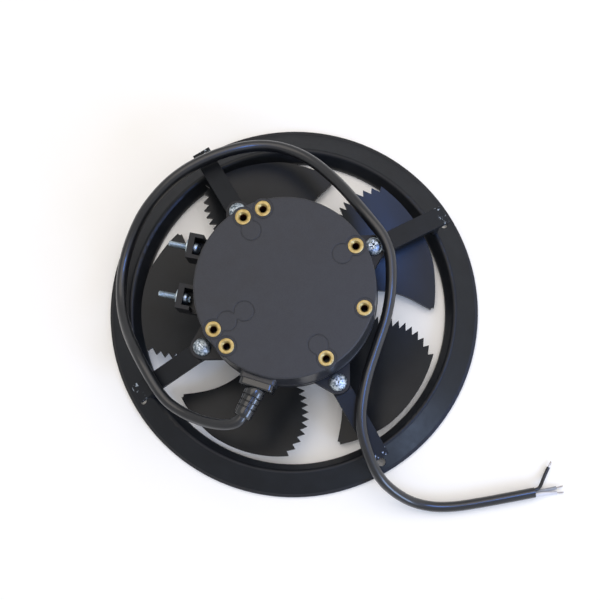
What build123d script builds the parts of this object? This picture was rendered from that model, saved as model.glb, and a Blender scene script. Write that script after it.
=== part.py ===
from build123d import *
from math import cos, degrees, hypot, pi, radians, sin, tan
import os

# Axial fan with a wall ring, lying on its ring with the motor side up.
# Millimetres. Z is the shaft's axis, and z = 0 is the plane that the ring rests on.

os.makedirs("parts", exist_ok=True)

# Impeller and its hub
impeller_d = 200.0
hub_d = 96.0
hub_front = 3.0
hub_top = 31.0
hub_gap = 0.3
hub_edge_r = 2.5
hub_hole_d = 20.0
hub_screw_pcd = 60.0
hub_screw_d = 4.0
hub_screw_head_d = 7.6
hub_screw_head_h = 1.6
hub_screw_count = 4

# Blades: radii are shares of the span from root to tip, angles are counted
# from the leading tip against the sense of rotation
blade_count = 5
blade_tip_angle = -0.4
blade_t = 2.2
blade_root_depth = 1.5
blade_camber = 0.28
leading_edge_form = [(0, 16.5), (0.159, 14.6), (0.346, 11.8), (0.514, 8.6), (0.664, 5.2), (0.813, 1.6), (0.895, -0.3)]
trailing_edge_form = [(0, 61.0), (0.1215, 62.6), (0.252, 63.9), (0.402, 63.8), (0.551, 63.0), (0.701, 60.8),
                      (0.8505, 57.0), (0.974, 53.2)]
lead_height_form = [(0, 6.5), (0.252, 5.2), (0.514, 4.0), (0.776, 3.0), (1.056, 2.4)]
trail_height_form = [(0, 25.5), (0.252, 22.6), (0.514, 20.2), (0.776, 18.4), (1.056, 17.0)]
tip_arc_angles = (38.0, 24.0)
tip_sweep_form = (0.955, 12.0)
nose_outer_form = (0.905, 1.5)
nose_inner_form = (0.862, 0.9)
nose_r = 1.4
tooth_count = 10
tooth_first_share = 0.1215
tooth_last_share = 0.974
tooth_depth = 4.6
tooth_lean = 0.28

# Wall ring, pressed from one sheet
tip_gap = 2.7
ring_nozzle_w = 5.9
ring_flange_w = 16.4
ring_sheet = 1.5
ring_rim_w = 2.5
ring_ridge_h = 9.6
ring_bend_r = 1.2
ring_foot_bend_r = 1.0
ring_nozzle_foot = 2.4
ring_nozzle_end = 0.3
fixing_hole_d = 5.5
fixing_hole_edge = 7.5

# Support arms, flat bar
arm_count = 4
arm_first_angle = 30.0
arm_w = 12.0
arm_t = 3.0
arm_tip_inset = 8.5
arm_tip_top = 24.0
arm_bend_r = 6.0
leg_w = 8.0
leg_t = 4.0

# Motor housing and its ears
housing_d = 113.0
housing_bottom = 35.0
housing_floor_t = 3.0
ear_t = 4.6
ear_r = 7.4
ear_root_w = 34.0
ear_root_r = 48.0
housing_rim_w = 4.5
housing_rib_count = 8
housing_rib_t = 2.0
arm_screw_pcd = 125.2
arm_screw_d = 5.0
arm_screw_head_d = 11.4
arm_screw_head_h = 3.4
arm_screw_l = 12.0
arm_nut_flats = 8.0
arm_nut_h = 4.0
bolt_clearance = 0.4

# Side pockets of the housing
pocket_direction = 168.3
pocket_pitch = 32.2
pocket_shift = -2.1
pocket_w = 15.6
pocket_wall_out = 3.8
pocket_wall_side = 2.4
pocket_face_x = 66.8
pocket_inner_x = 57.8
pocket_top = 47.0
pocket_screw_d = 4.0
pocket_thread_depth = 0.225
pocket_shank_proud = 0.3
pocket_screw_l = 16.6
pocket_screw_z = 41.8
pocket_floor_t = 2.6
pocket_head_d = 7.0
pocket_head_h = 2.6
pocket_washer_d = 10.0
pocket_washer_t = 0.9
pocket_washer_gap = 0.02

# Rear cover
cover_top = 59.3
cover_face_d = 111.0
cover_foot_d = 112.6
cover_lip_d = 113.4
cover_lip_h = 1.6
cover_edge_r = 0.9
cover_wall = 2.2
cover_face_t = 2.6
boss_d = 13.2
boss_depth = 12.5
outline_w = 0.5
outline_depth = 0.25
blank_boss_r = 40.4
extra_blank_r = 28.4
seal_t = 0.8
seal_w = 3.6
seal_inset = 0.4

# Brass inserts
insert_pcd = 100.0
insert_square_count = 4
insert_square_angle = 30.0
insert_triangle_count = 3
insert_triangle_angle = 105.0
insert_flange_d = 9.55
insert_flange_t = 0.8
insert_body_d = 7.5
insert_l = 10.0
insert_hole_d = 4.2
insert_chamfer = 0.7
insert_proud = 0.2

# Cable outlet
outlet_angle = 252.4
outlet_z = 48.0
outlet_seat_w = 22.6
outlet_seat_h = 13.6
outlet_seat_x = 58.4
gland_w = 21.6
gland_h = 12.4
gland_t = 4.2
gland_neck_d = 9.0
relief_lean = -10.1
relief_root_d = 12.4
relief_tip_d = 11.4
relief_l = 19.5
relief_groove_w = 0.9
relief_groove_depth = 0.9
relief_groove_first = 5.2
relief_groove_pitch = 3.7
relief_groove_count = 3

# Bearings, shaft and their tube
shaft_d = 8.0
shaft_running_gap = 0.03
shaft_top = 40.4
bearing_od = 22.0
bearing_w = 7.0
bearing_chamfer = 0.4
tube_wall = 2.5
tube_shoulder_d = 19.0
tube_bottom = 8.9
tube_flange_d = 36.0
tube_flange_t = 2.0
clip_d = 13.0
clip_t = 0.8
clip_gap = 0.3
clip_slot_w = 3.0

# Stator
slot_count = 12
core_bottom = 13.0
core_h = 16.0
core_ring_d = 37.0
core_od = 76.8
tooth_w = 4.6
shoe_w = 13.5
shoe_t = 2.4
coil_t = 2.4
coil_clearance = 0.2
coil_l = 12.6

# Rotor
air_gap = 0.8
magnet_t = 3.2
magnet_h = 19.0
cup_wall = 2.0
cup_bottom = 6.0
cup_top = 32.5
cup_bush_d = 16.0
cup_bush_top = 8.7

# Drive electronics
board_d = 83.0
board_t = 1.6
board_bottom = 43.0
post_pcd = 74.0
post_d = 7.0
post_count = 3
post_first_angle = 75.0
capacitor_d = 12.0
capacitor_h = 10.5
capacitor_count = 3
capacitor_circle_r = 26.0
capacitor_spread = 84.0
choke_d = 16.0
choke_t = 6.0
choke_at_r = 24.0
choke_at_angle = 150.0
terminal_at_r = 27.0
terminal_w = 18.0
terminal_depth = 9.0
terminal_h = 8.0
terminal_pitch = 6.0
terminal_mouth = 3.4

# Cable and leads
cable_d = 7.0
lead_d = 2.3
lead_circle_r = 1.9
wire_d = 1.1
wire_l = 5.0


def save(builder, name):
    builder.part.label = name
    export_step(builder.part, f"parts/{name}.step")


def around(radius, angle, z=0.0):
    return (radius * cos(radians(angle)), radius * sin(radians(angle)), z)


def radial_plane(angle):
    """A plane through the shaft's axis, with x outwards and y up."""
    turn = radians(angle)
    return Plane(origin=(0, 0, 0), x_dir=(cos(turn), sin(turn), 0), z_dir=(sin(turn), -cos(turn), 0))


def outward_plane(angle, distance, z):
    """A plane that faces outwards at an angle, with x sideways and y up."""
    turn = radians(angle)
    return Plane(origin=around(distance, angle, z), x_dir=(-sin(turn), cos(turn), 0),
                 z_dir=(cos(turn), sin(turn), 0))


# Heights and radii that follow from the driving sizes
tip_r = impeller_d / 2
throat_r = tip_r + tip_gap
ridge_r = throat_r + ring_nozzle_w
ring_r = ridge_r + ring_flange_w
fixing_hole_r = ring_r - fixing_hole_edge
arm_tip_r = ring_r - arm_tip_inset
ear_top = housing_bottom + ear_t
arm_screw_r = arm_screw_pcd / 2
arm_flat_end_r = arm_screw_r + ear_r
seal_bottom = ear_top
cover_bottom = seal_bottom + seal_t
arm_angles = [arm_first_angle + 360 / arm_count * i for i in range(arm_count)]
square_angles = [insert_square_angle + 360 / insert_square_count * i for i in range(insert_square_count)]
triangle_angles = [insert_triangle_angle + 360 / insert_triangle_count * i for i in range(insert_triangle_count)]
insert_r = insert_pcd / 2


def arm_top_at(r):
    """Height of an arm's upper face at a radius beyond the ear."""
    slope = (arm_tip_top - housing_bottom) / (arm_tip_r - arm_flat_end_r)
    return housing_bottom + slope * (r - arm_flat_end_r)


# Wall ring
with BuildPart() as wall_ring:
    with BuildSketch(Plane.XZ):
        with BuildLine():
            FilletPolyline(
                (ring_r, 0),
                (ring_r - ring_rim_w, 0),
                (ridge_r, ring_ridge_h - ring_sheet),
                (throat_r + ring_sheet, ring_nozzle_foot),
                (throat_r + ring_sheet, ring_nozzle_end),
                radius=[ring_bend_r, ring_bend_r, ring_foot_bend_r],
            )
            offset(amount=ring_sheet, side=Side.RIGHT)
        make_face()
    revolve(axis=Axis.Z)
    with PolarLocations(fixing_hole_r, arm_count, start_angle=arm_first_angle):
        Hole(radius=fixing_hole_d / 2)
save(wall_ring, "wall_ring")
ring_top = wall_ring.part.bounding_box().max.Z

# Support arms
for number, angle in enumerate(arm_angles, start=1):
    with BuildPart() as arm:
        with BuildSketch(radial_plane(angle)):
            with BuildLine():
                FilletPolyline(
                    (arm_screw_r - ear_r, housing_bottom),
                    (arm_flat_end_r, housing_bottom),
                    (arm_tip_r, arm_tip_top),
                    radius=arm_bend_r,
                )
                offset(amount=arm_t, side=Side.RIGHT)
            make_face()
        extrude(amount=arm_w / 2, both=True)
        with BuildSketch(Plane(around(ridge_r, angle, ring_top), x_dir=around(1, angle), z_dir=(0, 0, 1))):
            Rectangle(leg_t, leg_w)
        extrude(amount=arm_top_at(ridge_r) - arm_t / 2 - ring_top)
        with Locations(around(arm_screw_r, angle, housing_bottom)):
            Hole(radius=arm_screw_d / 2, depth=arm_t)
    save(arm, f"support_arm_{number}")

# Motor housing: floor, rim, ribs, ears and the two open pockets
tube_r = bearing_od / 2 + tube_wall
pocket_sides = (pocket_shift - pocket_pitch / 2, pocket_shift + pocket_pitch / 2)
pocket_void_end = pocket_face_x - pocket_wall_out
pocket_plane = Plane(origin=(0, 0, housing_bottom), x_dir=around(1, pocket_direction), z_dir=(0, 0, 1))
with BuildPart() as motor_housing:
    with BuildSketch(Plane.XY.offset(housing_bottom)):
        Circle(housing_d / 2)
    extrude(amount=ear_t)
    for angle in arm_angles:
        with BuildSketch(Plane(origin=(0, 0, housing_bottom), x_dir=around(1, angle), z_dir=(0, 0, 1))):
            with BuildLine():
                Line((ear_root_r, -ear_root_w / 2), (ear_root_r, ear_root_w / 2))
                CenterArc((arm_screw_r, 0), ear_r, -90, 180)
            make_hull()
        extrude(amount=ear_t)
    with BuildSketch(pocket_plane):
        with Locations(*[((pocket_face_x + ear_root_r) / 2, side) for side in pocket_sides]):
            Rectangle(pocket_face_x - ear_root_r, pocket_w)
    extrude(amount=ear_t)
    with BuildSketch(pocket_plane):
        with Locations(*[((pocket_face_x + pocket_inner_x) / 2, side) for side in pocket_sides]):
            Rectangle(pocket_face_x - pocket_inner_x, pocket_w)
    extrude(amount=pocket_top - housing_bottom)
    with BuildSketch(pocket_plane.offset(pocket_floor_t)):
        with Locations(*[((pocket_void_end + pocket_inner_x) / 2, side) for side in pocket_sides]):
            Rectangle(pocket_void_end - pocket_inner_x, pocket_w - 2 * pocket_wall_side)
    extrude(amount=pocket_top, mode=Mode.SUBTRACT)
    with BuildSketch(Plane.XY.offset(housing_bottom + housing_floor_t)):
        Circle(housing_d / 2 - housing_rim_w)
        Circle(tube_r + tube_wall, mode=Mode.SUBTRACT)
        with PolarLocations(0, housing_rib_count, start_angle=arm_first_angle - 180 / housing_rib_count):
            Rectangle(housing_d, housing_rib_t, mode=Mode.SUBTRACT)
    extrude(amount=ear_t, mode=Mode.SUBTRACT)
    with BuildSketch(Plane.XY.offset(housing_bottom)):
        Circle(tube_r)
    extrude(amount=ear_t, mode=Mode.SUBTRACT)
    with PolarLocations(arm_screw_r, arm_count, start_angle=arm_first_angle):
        Hole(radius=arm_screw_d / 2 + bolt_clearance / 2)
    for side in pocket_sides:
        wall_at = pocket_plane.from_local_coords((pocket_face_x, side, pocket_screw_z - housing_bottom))
        wall_plane = Plane(origin=wall_at, z_dir=around(1, pocket_direction))
        with BuildSketch(wall_plane):
            Circle(pocket_screw_d / 2 + bolt_clearance / 2)
        extrude(amount=-1.2 * pocket_wall_out, mode=Mode.SUBTRACT)
save(motor_housing, "motor_housing")

# Flat seal under the cover
with BuildPart() as cover_seal:
    with BuildSketch(Plane.XY.offset(seal_bottom)):
        Circle(housing_d / 2 - seal_inset)
        Circle(housing_d / 2 - seal_inset - seal_w, mode=Mode.SUBTRACT)
    extrude(amount=seal_t)
save(cover_seal, "cover_seal")

# Rear cover: a deep cap with draft, a lip, insert bosses and the seat of the cable outlet
insert_angles = square_angles + triangle_angles
insert_places = [around(insert_r, angle) for angle in insert_angles]
inner_foot_r = cover_foot_d / 2 - cover_wall
inner_top_r = cover_face_d / 2 - cover_wall
with BuildPart() as outer_boss:
    with BuildSketch(Plane.XY.offset(cover_bottom)):
        Circle(boss_d / 2)
    extrude(amount=cover_top - cover_bottom)
    fillet(outer_boss.edges().filter_by(GeomType.CIRCLE).group_by(Axis.Z)[-1], cover_edge_r)

# Outlines of the bosses, each lobe a blanked screw place
outlines = []
for angle in square_angles:
    with BuildSketch(Plane.XY.offset(cover_top)) as lobes:
        with Locations(around(insert_r, angle), around(blank_boss_r, angle)):
            Circle(boss_d / 2)
        if angle == square_angles[2]:
            with Locations(around(extra_blank_r, angle)):
                Circle(boss_d / 2)
    outlines.append(lobes.sketch)

with BuildPart() as rear_cover:
    with BuildSketch(Plane.XZ):
        with BuildLine():
            Polyline(
                (0, cover_bottom),
                (cover_lip_d / 2, cover_bottom),
                (cover_lip_d / 2, cover_bottom + cover_lip_h),
                (cover_foot_d / 2, cover_bottom + cover_lip_h),
                (cover_face_d / 2, cover_top),
                (0, cover_top),
                close=True,
            )
        make_face()
    revolve(axis=Axis.Z)
    fillet(rear_cover.edges().filter_by(GeomType.CIRCLE).group_by(Axis.Z)[-1], cover_edge_r)
    with Locations(*insert_places):
        add(outer_boss.part)
    with BuildSketch(outward_plane(outlet_angle, 0, outlet_z)):
        RectangleRounded(outlet_seat_w, outlet_seat_h, 2)
    extrude(amount=outlet_seat_x)
    with BuildSketch(Plane.XZ):
        with BuildLine():
            Polyline(
                (0, cover_bottom),
                (inner_foot_r, cover_bottom),
                (inner_top_r, cover_top - cover_face_t),
                (0, cover_top - cover_face_t),
                close=True,
            )
        make_face()
    revolve(axis=Axis.Z, mode=Mode.SUBTRACT)
    with BuildSketch(Plane.XY.offset(cover_top - cover_face_t)):
        with Locations(*insert_places):
            Circle(boss_d / 2)
    extrude(amount=-(boss_depth - cover_face_t))
    with BuildSketch(Plane.XY.offset(cover_top)):
        for outline in outlines:
            add(offset(outline, amount=-outline_w / 2, mode=Mode.PRIVATE))
            add(offset(outline, amount=-3 * outline_w / 2, mode=Mode.PRIVATE), mode=Mode.SUBTRACT)
    extrude(amount=-outline_depth, mode=Mode.SUBTRACT)
    with BuildSketch(Plane.XY.offset(cover_top)):
        with Locations(*[around(insert_r, angle) for angle in triangle_angles]):
            Circle(boss_d / 2 - outline_w / 2)
            Circle(boss_d / 2 - 3 * outline_w / 2, mode=Mode.SUBTRACT)
    extrude(amount=-outline_depth, mode=Mode.SUBTRACT)
    with Locations(*[around(insert_r, angle, cover_top) for angle in insert_angles]):
        CounterBoreHole(insert_body_d / 2, insert_flange_d / 2, insert_flange_t - insert_proud, depth=insert_l)
    with BuildSketch(outward_plane(outlet_angle, 0, outlet_z)):
        Circle(gland_neck_d / 2)
    extrude(amount=outlet_seat_x, mode=Mode.SUBTRACT)
save(rear_cover, "rear_cover")


# Brass inserts with a flange, a body and a bored thread
def make_inserts(angles, name):
    flange_top = cover_top + insert_proud
    with BuildPart() as inserts:
        for angle in angles:
            with BuildSketch(Plane(around(insert_r, angle, flange_top))):
                Circle(insert_flange_d / 2)
            extrude(amount=-insert_flange_t)
            with BuildSketch(Plane(around(insert_r, angle, flange_top))):
                Circle(insert_body_d / 2)
            extrude(amount=-insert_l)
        rims = inserts.edges().filter_by(GeomType.CIRCLE).group_by(Axis.Z)[-1]
        chamfer(rims, 0.2)
        with Locations(*[around(insert_r, angle, flange_top) for angle in angles]):
            CounterSinkHole(insert_hole_d / 2, insert_hole_d / 2 + insert_chamfer, depth=insert_l)
    save(inserts, name)


make_inserts(square_angles, "threaded_inserts_square")
make_inserts(triangle_angles, "threaded_inserts_triangle")

# Arm screws and the nuts under the arms
with BuildPart() as arm_screws:
    with BuildSketch(Plane.XY.offset(ear_top)):
        with PolarLocations(arm_screw_r, arm_count, start_angle=arm_first_angle):
            Circle(arm_screw_head_d / 2)
    extrude(amount=arm_screw_head_h)
    fillet(arm_screws.edges().filter_by(GeomType.CIRCLE).group_by(Axis.Z)[-1], 1.8)
    with BuildSketch(Plane.XY.offset(ear_top)):
        with PolarLocations(arm_screw_r, arm_count, start_angle=arm_first_angle):
            Circle(arm_screw_d / 2)
    extrude(amount=-arm_screw_l)
save(arm_screws, "arm_screws")

arm_bottom = housing_bottom - arm_t
with BuildPart() as arm_nuts:
    with BuildSketch(Plane.XY.offset(arm_bottom - arm_nut_h)):
        with PolarLocations(arm_screw_r, arm_count, start_angle=arm_first_angle):
            RegularPolygon(arm_nut_flats / 2, 6, major_radius=False)
            Circle(arm_screw_d / 2, mode=Mode.SUBTRACT)
    extrude(amount=arm_nut_h)
save(arm_nuts, "arm_nuts")

# Screws and washers of the side pockets, a plain shank in the wall and a thread outside it
pocket_shank_l = pocket_wall_out + pocket_washer_t + pocket_shank_proud
with BuildPart() as pocket_screws:
    for side in pocket_sides:
        seat = pocket_plane.from_local_coords((pocket_void_end, side, pocket_screw_z - housing_bottom))
        seat_plane = Plane(origin=seat, z_dir=around(1, pocket_direction))
        with BuildSketch(seat_plane):
            Circle(pocket_head_d / 2)
        extrude(amount=-pocket_head_h)
        with BuildSketch(seat_plane):
            Circle(pocket_screw_d / 2)
        extrude(amount=pocket_shank_l)
        with BuildSketch(seat_plane):
            Circle(pocket_screw_d / 2 - pocket_thread_depth)
        extrude(amount=pocket_screw_l)
save(pocket_screws, "pocket_screws")

with BuildPart() as pocket_washers:
    for side in pocket_sides:
        seat = pocket_plane.from_local_coords((pocket_face_x, side, pocket_screw_z - housing_bottom))
        with BuildSketch(Plane(origin=seat, z_dir=around(1, pocket_direction))):
            Circle(pocket_washer_d / 2)
            Circle(pocket_screw_d / 2 + pocket_washer_gap, mode=Mode.SUBTRACT)
        extrude(amount=pocket_washer_t)
save(pocket_washers, "pocket_washers")

# Cable gland on the cover's seat, and the grooved strain relief
with BuildPart() as cable_gland:
    with BuildSketch(outward_plane(outlet_angle, outlet_seat_x, outlet_z)):
        RectangleRounded(gland_w, gland_h, 3)
    extrude(amount=gland_t)
    fillet(cable_gland.faces().sort_by(lambda f: hypot(f.center().X, f.center().Y))[-1].edges(), 1)
    with BuildSketch(outward_plane(outlet_angle, outlet_seat_x, outlet_z)):
        Circle(gland_neck_d / 2)
    extrude(amount=-3 * cover_wall)
save(cable_gland, "cable_gland")

# The sleeve leans over to the side that the cable pulls it
relief_root = Vector(*around(outlet_seat_x + gland_t, outlet_angle, outlet_z))
relief_way = Vector(*around(1, outlet_angle + relief_lean))
with BuildPart() as strain_relief:
    with BuildSketch(Plane(origin=relief_root, z_dir=around(1, outlet_angle))):
        Circle(relief_root_d / 2)
    with BuildSketch(Plane(origin=relief_root + relief_way * relief_l, z_dir=relief_way)):
        Circle(relief_tip_d / 2)
    loft()
    for i in range(relief_groove_count):
        groove_start = relief_groove_first + relief_groove_pitch * i
        with BuildSketch(Plane(origin=relief_root + relief_way * groove_start, z_dir=relief_way)):
            Circle(relief_root_d)
            Circle(relief_tip_d / 2 - relief_groove_depth, mode=Mode.SUBTRACT)
        extrude(amount=relief_groove_w, mode=Mode.SUBTRACT)
save(strain_relief, "strain_relief")

# Bearing tube, bearings and shaft
housing_floor_top = housing_bottom + housing_floor_t
front_bearing_bottom = tube_bottom + 0.1
rear_bearing_top = housing_floor_top
with BuildPart() as bearing_tube:
    with BuildSketch(Plane.XY.offset(tube_bottom)):
        Circle(tube_r)
    extrude(amount=rear_bearing_top - tube_bottom)
    with BuildSketch(Plane.XY.offset(housing_bottom - tube_flange_t)):
        Circle(tube_flange_d / 2)
    extrude(amount=tube_flange_t)
    with BuildSketch(Plane.XY.offset(tube_bottom)):
        Circle(tube_shoulder_d / 2)
    extrude(amount=rear_bearing_top - tube_bottom, mode=Mode.SUBTRACT)
    with BuildSketch(Plane.XY.offset(tube_bottom)):
        Circle(bearing_od / 2)
    extrude(amount=front_bearing_bottom - tube_bottom + bearing_w, mode=Mode.SUBTRACT)
    with BuildSketch(Plane.XY.offset(rear_bearing_top)):
        Circle(bearing_od / 2)
    extrude(amount=-bearing_w, mode=Mode.SUBTRACT)
save(bearing_tube, "bearing_tube")

for name, bottom in (("bearing_front", front_bearing_bottom), ("bearing_rear", rear_bearing_top - bearing_w)):
    with BuildPart() as bearing:
        with BuildSketch(Plane.XY.offset(bottom)):
            Circle(bearing_od / 2)
            Circle(shaft_d / 2, mode=Mode.SUBTRACT)
        extrude(amount=bearing_w)
        rims = bearing.edges().filter_by(GeomType.CIRCLE).sort_by(SortBy.RADIUS)[-2:]
        chamfer(rims, bearing_chamfer)
    save(bearing, name)

shaft_r = shaft_d / 2 - shaft_running_gap
with BuildPart() as rotor_shaft:
    with BuildSketch(Plane.XY.offset(cup_bottom)):
        Circle(shaft_r)
    extrude(amount=shaft_top - cup_bottom)
    chamfer(rotor_shaft.edges().filter_by(GeomType.CIRCLE), 0.5)
save(rotor_shaft, "rotor_shaft")

with BuildPart() as shaft_clip:
    with BuildSketch(Plane.XY.offset(rear_bearing_top + clip_gap)):
        Circle(clip_d / 2)
        Circle(shaft_r, mode=Mode.SUBTRACT)
        with Locations((clip_d / 2, 0)):
            Rectangle(clip_d, clip_slot_w, mode=Mode.SUBTRACT)
    extrude(amount=clip_t)
save(shaft_clip, "shaft_clip")

# Stator: laminated core with teeth and one coil on each
core_r = core_od / 2
shoe_gap = 2 * pi * core_r / slot_count - shoe_w
with BuildSketch(Plane.XY.offset(core_bottom)) as shoes:
    Circle(core_r)
    Circle(core_r - shoe_t, mode=Mode.SUBTRACT)
    with PolarLocations(core_r, slot_count, start_angle=180 / slot_count):
        Rectangle(3 * shoe_t, shoe_gap, mode=Mode.SUBTRACT)

with BuildPart() as stator_core:
    with BuildSketch(Plane.XY.offset(core_bottom)):
        Circle(core_ring_d / 2)
        with PolarLocations(core_r / 2, slot_count):
            Rectangle(core_r - 1, tooth_w)
        add(shoes.sketch)
        Circle(tube_r, mode=Mode.SUBTRACT)
    extrude(amount=core_h)
save(stator_core, "stator_core")

coil_inner_w = tooth_w + 2 * coil_clearance
coil_inner_h = core_h + 2 * coil_clearance
coil_start_r = core_ring_d / 2 + 1.6
with BuildPart() as stator_windings:
    for i in range(slot_count):
        with BuildSketch(outward_plane(360 / slot_count * i, coil_start_r, core_bottom + core_h / 2)):
            RectangleRounded(coil_inner_w + 2 * coil_t, coil_inner_h + 2 * coil_t, 1.6)
            Rectangle(coil_inner_w, coil_inner_h, mode=Mode.SUBTRACT)
        extrude(amount=coil_l)
save(stator_windings, "stator_windings")

# Rotor: deep-drawn cup with a bush, and the ring of magnets inside it
magnet_inner_r = core_r + air_gap
cup_inner_r = magnet_inner_r + magnet_t
cup_outer_r = cup_inner_r + cup_wall
hub_screw_r = hub_screw_pcd / 2
with BuildPart() as rotor_cup:
    with BuildSketch(Plane.XY.offset(cup_bottom)):
        Circle(cup_outer_r)
    extrude(amount=cup_top - cup_bottom)
    fillet(rotor_cup.edges().filter_by(GeomType.CIRCLE).group_by(Axis.Z)[0], 1.5)
    with BuildSketch(Plane.XY.offset(cup_bottom + cup_wall)):
        Circle(cup_inner_r)
    extrude(amount=cup_top, mode=Mode.SUBTRACT)
    with BuildSketch(Plane.XY.offset(cup_bottom)):
        Circle(cup_bush_d / 2)
    extrude(amount=cup_bush_top - cup_bottom)
    with BuildSketch(Plane.XY.offset(cup_bottom)):
        Circle(shaft_r)
        with PolarLocations(hub_screw_r, hub_screw_count):
            Circle(hub_screw_d / 2)
    extrude(amount=cup_bush_top - cup_bottom, mode=Mode.SUBTRACT)
save(rotor_cup, "rotor_cup")

with BuildPart() as magnet_ring:
    with BuildSketch(Plane.XY.offset(core_bottom - 1.5)):
        Circle(cup_inner_r)
        Circle(magnet_inner_r, mode=Mode.SUBTRACT)
    extrude(amount=magnet_h)
save(magnet_ring, "magnet_ring")

# Impeller blades
blade_root_r = hub_d / 2 - blade_root_depth


def span_r(share):
    """Radius at a share of the blade's span."""
    return blade_root_r + (tip_r - blade_root_r) * share


def between(form, share):
    """Value at a share of the span, by straight lines between the given points."""
    for (s0, v0), (s1, v1) in zip(form, form[1:]):
        if share <= s1:
            break
    return v0 + (v1 - v0) * (share - s0) / (s1 - s0)


def blade_point(span, along):
    """A point of the blade's front face; along runs from ahead of the leading edge to past the trailing edge."""
    lead = between(leading_edge_form, span)
    trail = between(trailing_edge_form, span)
    start = lead - surface_lead_margin
    angle = start + (trail + surface_trail_margin - start) * along
    chord = (angle - lead) / (trail - lead)
    lead_z = between(lead_height_form, span)
    trail_z = between(trail_height_form, span)
    height = lead_z + (trail_z - lead_z) * ((1 - blade_camber) * chord + blade_camber * chord * abs(chord))
    return around(span_r(span), angle + blade_tip_angle, height)


surface_lead_margin = 8.0
surface_trail_margin = 6.0
surface_spans = [-0.02, 0.14, 0.29, 0.44, 0.59, 0.74, 0.89, 1.06]
surface_steps = 9
blade_front = Face.make_surface_from_array_of_points(
    [[blade_point(span, i / surface_steps) for i in range(surface_steps + 1)] for span in surface_spans], tol=0.02
)

# The saw teeth stand on the trailing edge, each leaning outwards
tooth_pitch = (tooth_last_share - tooth_first_share) / tooth_count
teeth = []
for i in range(tooth_count):
    valley = tooth_first_share + tooth_pitch * (i + tooth_lean)
    peak = tooth_first_share + tooth_pitch * (i + 1)
    valley_back = degrees(tooth_depth / span_r(valley))
    teeth.append(around(span_r(valley), between(trailing_edge_form, valley) - valley_back + blade_tip_angle))
    teeth.append(around(span_r(peak), between(trailing_edge_form, peak) + blade_tip_angle))


def blade_place(form):
    return around(span_r(form[0]), form[1] + blade_tip_angle)


leading_edge = [blade_place(form) for form in reversed(leading_edge_form[:-2])]
root_trail = blade_place(trailing_edge_form[0])
teeth_start = blade_place(trailing_edge_form[1])
tip_middle = around(tip_r, tip_arc_angles[0] + blade_tip_angle)
sweep_start = around(tip_r, tip_arc_angles[1] + blade_tip_angle)
nose_outer = blade_place(nose_outer_form)
nose_inner = blade_place(nose_inner_form)
with BuildPart() as blade:
    extrude(blade_front, amount=blade_t, dir=(0, 0, 1))
    with BuildSketch(Plane.XY):
        with BuildLine():
            Polyline(root_trail, teeth_start, *teeth)
            ThreePointArc(teeth[-1], tip_middle, sweep_start)
            Spline(sweep_start, blade_place(tip_sweep_form), nose_outer,
                   tangents=[around(1, tip_arc_angles[1] - 90), around(1, -100)])
            RadiusArc(nose_outer, nose_inner, -nose_r)
            Spline(nose_inner, *leading_edge)
            Line(leading_edge[-1], root_trail)
        make_face()
    extrude(amount=2 * hub_top, mode=Mode.INTERSECT)

with BuildPart() as impeller:
    with BuildSketch(Plane.XY.offset(hub_front)):
        Circle(hub_d / 2)
    extrude(amount=hub_top - hub_front)
    fillet(impeller.edges().filter_by(GeomType.CIRCLE).group_by(Axis.Z)[0], hub_edge_r)
    with PolarLocations(0, blade_count):
        add(blade.part)
    with BuildSketch(Plane.XY.offset(cup_bottom)):
        Circle(cup_outer_r + hub_gap)
    extrude(amount=hub_top, mode=Mode.SUBTRACT)
    with BuildSketch(Plane.XY.offset(hub_front)):
        Circle(hub_hole_d / 2)
        with PolarLocations(hub_screw_r, hub_screw_count):
            Circle(hub_screw_d / 2 + bolt_clearance / 2)
    extrude(amount=cup_bottom - hub_front, mode=Mode.SUBTRACT)
save(impeller, "impeller")

with BuildPart() as impeller_screws:
    with BuildSketch(Plane.XY.offset(hub_front)):
        with PolarLocations(hub_screw_r, hub_screw_count):
            Circle(hub_screw_head_d / 2)
    extrude(amount=-hub_screw_head_h)
    fillet(impeller_screws.edges().filter_by(GeomType.CIRCLE).group_by(Axis.Z)[0], 0.8)
    with BuildSketch(Plane.XY.offset(hub_front)):
        with PolarLocations(hub_screw_r, hub_screw_count):
            Circle(hub_screw_d / 2)
    extrude(amount=cup_bottom + cup_wall - hub_front)
save(impeller_screws, "impeller_screws")

# Drive electronics under the cover
board_top = board_bottom + board_t
with BuildPart() as board_posts:
    with BuildSketch(Plane.XY.offset(housing_floor_top)):
        with PolarLocations(post_pcd / 2, post_count, start_angle=post_first_angle):
            Circle(post_d / 2)
    extrude(amount=board_bottom - housing_floor_top)
save(board_posts, "board_posts")

with BuildPart() as circuit_board:
    with BuildSketch(Plane.XY.offset(board_bottom)):
        Circle(board_d / 2)
    extrude(amount=board_t)
save(circuit_board, "circuit_board")

with BuildPart() as capacitors:
    with BuildSketch(Plane.XY.offset(board_top)):
        with PolarLocations(capacitor_circle_r, capacitor_count, angular_range=capacitor_spread):
            Circle(capacitor_d / 2)
    extrude(amount=capacitor_h)
    fillet(capacitors.edges().filter_by(GeomType.CIRCLE).group_by(Axis.Z)[-1], 0.8)
save(capacitors, "capacitors")

with BuildPart() as line_choke:
    with BuildSketch(Plane.XY.offset(board_top)):
        with Locations(around(choke_at_r, choke_at_angle)):
            Circle(choke_d / 2)
            Circle(choke_d / 4, mode=Mode.SUBTRACT)
    extrude(amount=choke_t)
    fillet(line_choke.edges().filter_by(GeomType.CIRCLE), 1.2)
save(line_choke, "line_choke")

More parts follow.
